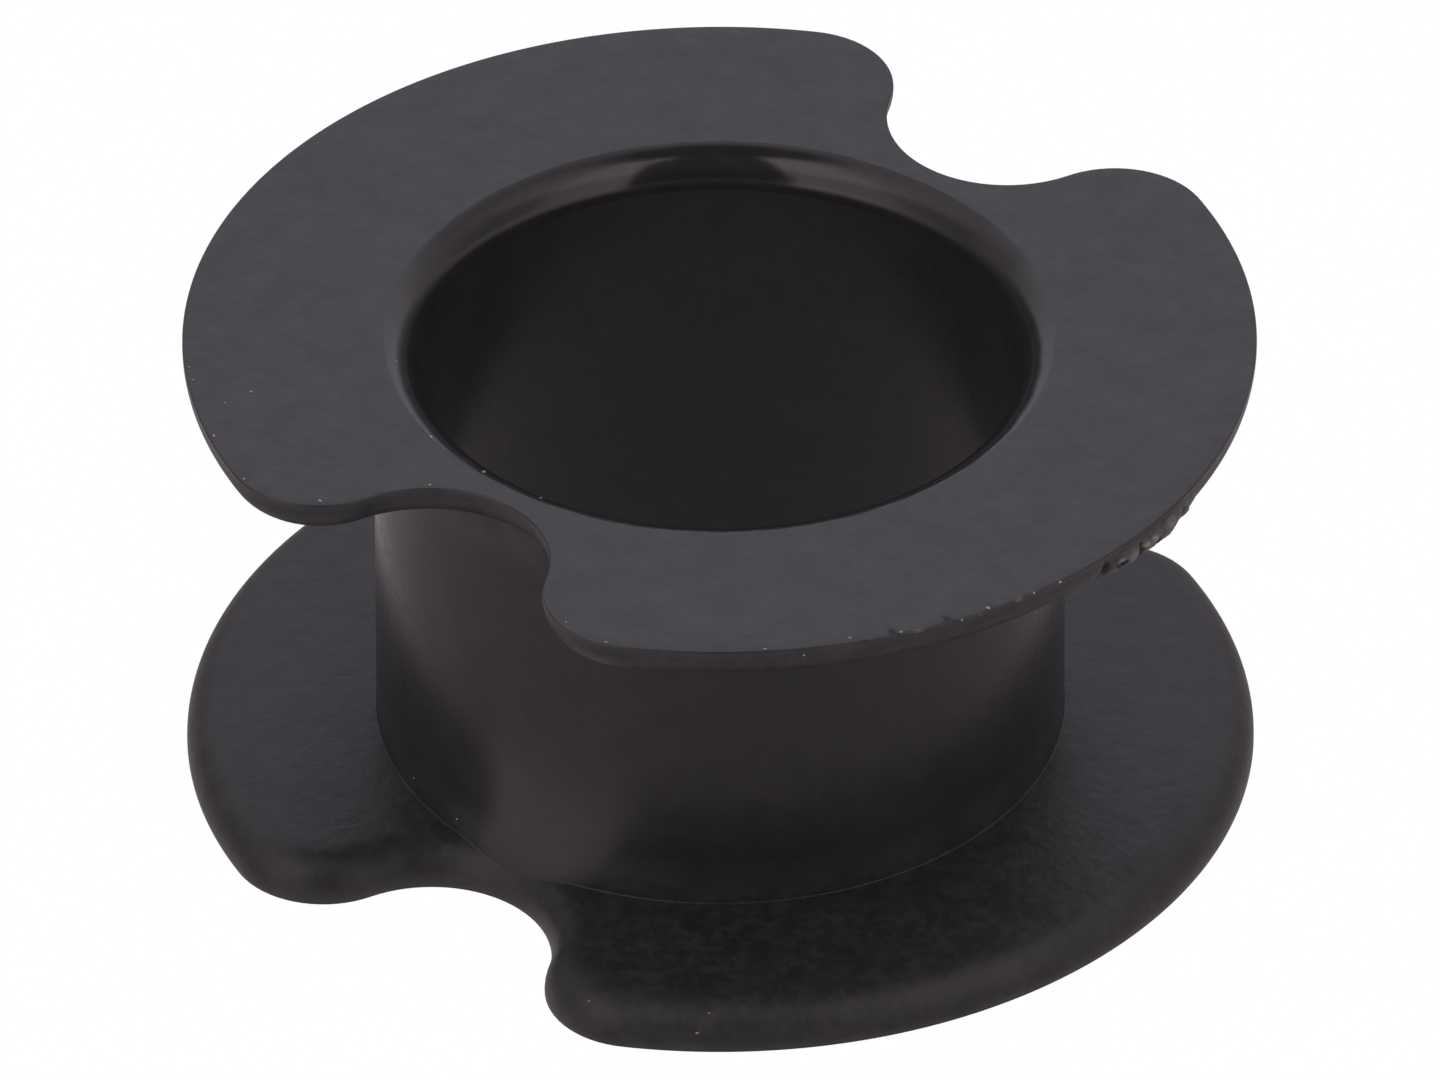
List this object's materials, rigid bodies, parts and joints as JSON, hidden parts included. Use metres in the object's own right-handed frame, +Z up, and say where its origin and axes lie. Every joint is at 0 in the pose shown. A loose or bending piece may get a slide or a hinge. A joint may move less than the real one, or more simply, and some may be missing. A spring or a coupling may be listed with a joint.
{
  "type": "coil former",
  "caption": "One-piece moulded coil former for a small pot core: thin tube between two flanges with rounded wire notches and a through bore.",
  "frame": {"origin": "centre of the lower flange face, on the bore axis", "axes": "+Z up along the bore axis; +Y through the middle of one pair of notches, -Y through the other; +X midway between them"},
  "size_m": [0.0074, 0.0068, 0.0034],
  "materials": {
    "moulding": "matte"
  },
  "bodies": {
    "root": {"former": "moulding"}
  },
  "joints": []
}
